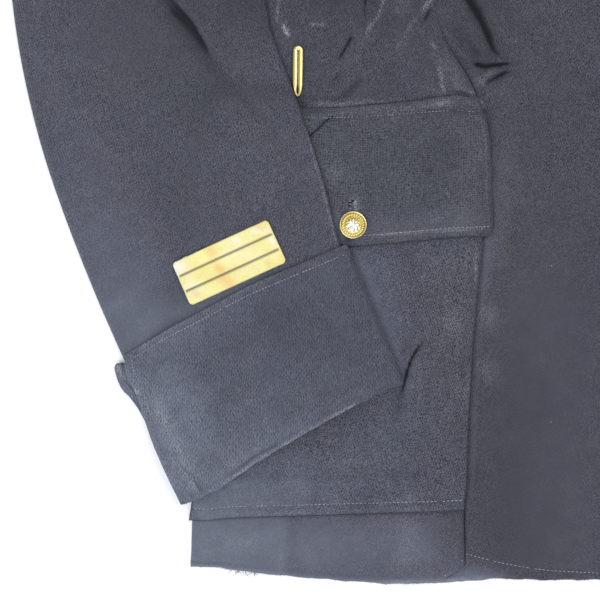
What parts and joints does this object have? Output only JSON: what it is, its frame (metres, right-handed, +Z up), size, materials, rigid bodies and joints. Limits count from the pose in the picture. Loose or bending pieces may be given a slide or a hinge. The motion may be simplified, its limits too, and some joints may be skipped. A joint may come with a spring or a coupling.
{
  "type": "officer tunic",
  "caption": "Officer tunic laid flat: dark wool with bellows pockets, deep turned-back cuffs, gilt buttons, belt hooks and gold rank lace on each sleeve.",
  "frame": {"origin": "underside of the back at the centre of the waist, on the surface that the tunic lies on", "axes": "+Z up out of the surface, the side that shows; +Y from the waist towards the neck; +X towards the wearer's left"},
  "size_m": [0.8044, 0.7658, 0.019],
  "materials": {
    "cloth_back": "dark navy-grey wool twill, seen from inside at the neck",
    "cloth_fronts": "dark navy-grey wool twill, worn and dusty",
    "cloth_lapels": "dark navy-grey wool twill",
    "cloth_collar": "dark navy-grey wool twill",
    "cloth_collar_stand": "dark navy-grey wool twill, seen from inside",
    "cloth_sleeves": "dark navy-grey wool twill",
    "cloth_under_sleeves": "dark navy-grey wool twill",
    "cloth_cuffs": "dark navy-grey wool twill, bluish where worn",
    "cloth_pockets": "dark navy-grey wool twill with brownish dust",
    "cloth_flaps": "dark navy-grey wool twill with brownish dust",
    "gilt_buttons": "gilt, polished rim, worn dome",
    "gilt_hooks": "gilt, bright",
    "rank_lace": "pale gold woven lace, stained orange in places"
  },
  "bodies": {
    "root": {"back": "cloth_back", "front_right": "cloth_fronts", "front_left": "cloth_fronts", "lapel_right": "cloth_lapels", "lapel_left": "cloth_lapels", "collar": "cloth_collar", "collar_stand": "cloth_collar_stand", "sleeve_top_right": "cloth_sleeves", "sleeve_top_left": "cloth_sleeves", "sleeve_under_right": "cloth_under_sleeves", "sleeve_under_left": "cloth_under_sleeves", "cuff_right": "cloth_cuffs", "cuff_left": "cloth_cuffs", "pocket_right": "cloth_pockets", "pocket_left": "cloth_pockets", "gusset_right": "cloth_pockets", "gusset_left": "cloth_pockets", "flap_right": "cloth_flaps", "flap_left": "cloth_flaps", "button_pocket_right": "gilt_buttons", "button_pocket_left": "gilt_buttons", "button_front_1": "gilt_buttons", "button_front_2": "gilt_buttons", "button_front_3": "gilt_buttons", "button_front_4": "gilt_buttons", "belt_hook_right": "gilt_hooks", "belt_hook_left": "gilt_hooks", "rank_lace_right": "rank_lace", "rank_lace_left": "rank_lace"}
  },
  "joints": []
}
